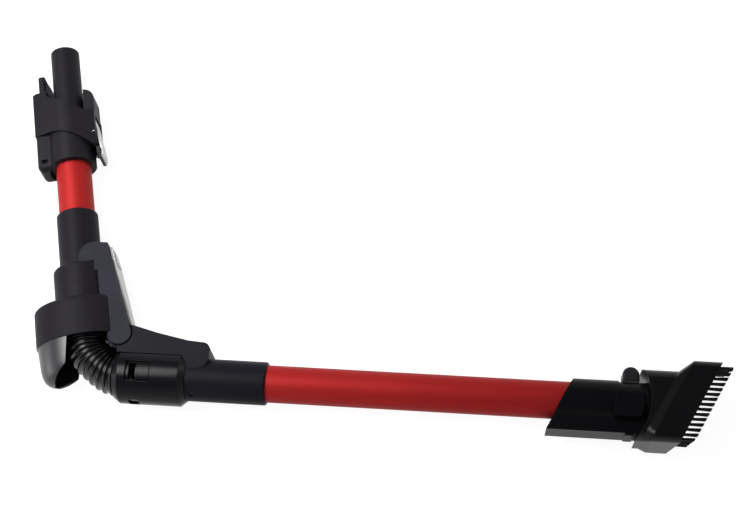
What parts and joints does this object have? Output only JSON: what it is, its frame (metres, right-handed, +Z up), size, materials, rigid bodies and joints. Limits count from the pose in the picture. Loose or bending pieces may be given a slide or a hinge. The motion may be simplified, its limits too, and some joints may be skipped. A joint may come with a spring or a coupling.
{
  "type": "flexible vacuum wand",
  "caption": "Bent vacuum wand: red tubes on an elbow hinge with a corrugated hose and shroud, a suction coupling with a rocker latch, and a slanted dusting brush with a release button.",
  "frame": {"origin": "middle of the footprint, on the surface that the wand lies on", "axes": "+X along the lower tube towards the brush, +Y towards the inside of the elbow, +Z up along the hinge axis"},
  "size_m": [0.702, 0.3936, 0.06],
  "materials": {
    "red_tube": "satin red anodised drawn tube",
    "black_plastic": "fine-grained matt black moulding",
    "gloss_black": "semi-gloss black moulding",
    "arm_grey": "matt bluish dark grey moulding",
    "trim_grey": "satin light warm grey trim",
    "hose_black": "glossy black corrugated hose",
    "latch_silver": "satin silver cap",
    "contact_brass": "plain brass contacts",
    "pin_steel": "plain steel",
    "bristle": "black nylon bristle"
  },
  "bodies": {
    "lower": {"lower_tube": "red_tube", "hinge_saddle": "arm_grey", "socket_ring": "black_plastic", "hose_lower_cuff": "black_plastic", "hose": "hose_black", "collar_screw_near": "pin_steel", "collar_screw_far": "pin_steel", "end_sleeve": "gloss_black", "end_channel_cover": "gloss_black", "end_contacts": "contact_brass"},
    "upper": {"upper_tube": "red_tube", "upper_socket": "black_plastic", "hose_upper_cuff": "black_plastic", "shroud": "black_plastic", "hinge_arm": "arm_grey", "flex_trim": "trim_grey", "hinge_pin": "pin_steel", "coupling_collar": "black_plastic", "coupling_housing": "black_plastic", "suction_spigot": "black_plastic", "contact_post": "black_plastic", "contact_blade_near": "contact_brass", "contact_blade_far": "contact_brass", "latch_pin": "pin_steel"},
    "flex_button": {"flex_button": "trim_grey"},
    "wand_latch": {"latch_lever": "black_plastic", "latch_cap": "latch_silver"},
    "tool_button": {"tool_button": "gloss_black"},
    "brush": {"brush_nozzle": "gloss_black", "bristles": "bristle"}
  },
  "joints": [
    {"name": "elbow_hinge", "type": "hinge", "parent": "lower", "child": "upper", "pos_m": [-0.21847, -0.1218, 0.03], "axis": [0, 0, 1], "range_deg": [0, 76.5], "deforming": ["hose"]},
    {"name": "flex_press", "type": "slide", "parent": "upper", "child": "flex_button", "axis": [-0.9176, -0.3976, 0], "range_m": [0, 0.0025], "stiffness_N_per_m": 600},
    {"name": "latch_rock", "type": "hinge", "parent": "upper", "child": "wand_latch", "pos_m": [-0.27994, 0.09484, 0.03], "axis": [0, 0, -1], "range_deg": [0, 7], "stiffness_Nm_per_rad": 0.4},
    {"name": "tool_button_press", "type": "slide", "parent": "lower", "child": "tool_button", "axis": [0, -1, 0], "range_m": [0, 0.0025], "stiffness_N_per_m": 600},
    {"name": "brush_pull", "type": "slide", "parent": "lower", "child": "brush", "axis": [1, 0, 0], "range_m": [0, 0.05]}
  ]
}
